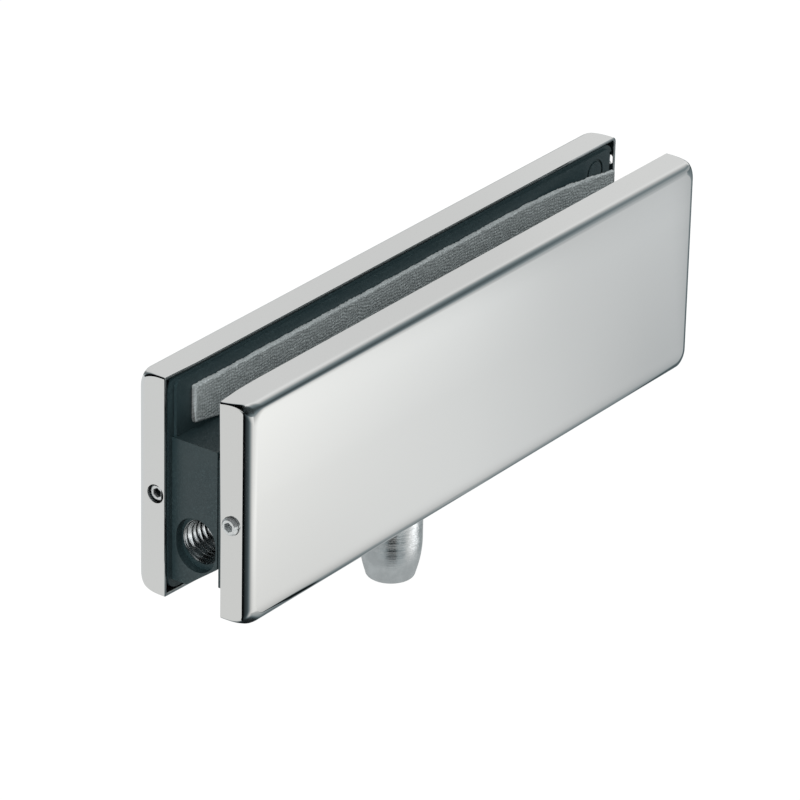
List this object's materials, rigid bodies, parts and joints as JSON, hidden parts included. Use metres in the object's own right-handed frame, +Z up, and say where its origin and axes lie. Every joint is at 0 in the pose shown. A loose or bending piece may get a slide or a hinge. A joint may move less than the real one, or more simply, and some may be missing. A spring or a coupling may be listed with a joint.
{
  "type": "glass clamp",
  "caption": "Patch fitting for a glass overpanel: two steel-covered cast jaws with fibre gaskets, a slot for the pane and a tapered pivot pin below.",
  "frame": {"origin": "on the pivot pin's axis at the top of its running length, 0.5 mm below the covers, in the middle plane of the glass", "axes": "+X along the fitting from the near end to the far end, -Y towards the front cover, +Z up into the glass; the pivot pin points along -Z"},
  "size_m": [0.165, 0.03, 0.0715],
  "materials": {
    "polished_steel": "mirror-polished stainless sheet",
    "dark_casting": "dark grey-green coated casting, satin",
    "woven_fibre": "pressed woven fibre, matt, grey with light flecks",
    "turned_steel": "turned steel with fine machining rings",
    "screw_steel": "plain steel"
  },
  "bodies": {
    "back_jaw": {"back_body": "dark_casting", "back_cover": "polished_steel", "back_gasket": "woven_fibre", "pivot_pin": "turned_steel", "pin_lock_screw": "screw_steel", "back_near_cover_screw": "screw_steel", "back_far_cover_screw": "screw_steel"},
    "front_jaw": {"front_clamp_plate": "dark_casting", "front_cover": "polished_steel", "front_gasket": "woven_fibre", "front_near_cover_screw": "screw_steel", "front_far_cover_screw": "screw_steel"},
    "near_clamp_screw": {"near_clamp_screw": "screw_steel"},
    "far_clamp_screw": {"far_clamp_screw": "screw_steel"}
  },
  "joints": [
    {"name": "front_jaw_slide", "type": "slide", "parent": "back_jaw", "child": "front_jaw", "axis": [0, 1, 0], "range_m": [-0.0016, 0.002]},
    {"name": "near_clamp_screw_turn", "type": "hinge", "parent": "front_jaw", "child": "near_clamp_screw", "pos_m": [-0.04, 0, 0.0285], "axis": [0, 1, 0], "range_deg": [-461, 577]},
    {"name": "far_clamp_screw_turn", "type": "hinge", "parent": "front_jaw", "child": "far_clamp_screw", "pos_m": [0.064, 0, 0.0285], "axis": [0, 1, 0], "range_deg": [-461, 577]}
  ],
  "couplings": [
    {"joint": "near_clamp_screw_turn", "follows": "front_jaw_slide", "rad_per_m": 5026.5},
    {"joint": "far_clamp_screw_turn", "follows": "front_jaw_slide", "rad_per_m": 5026.5}
  ]
}
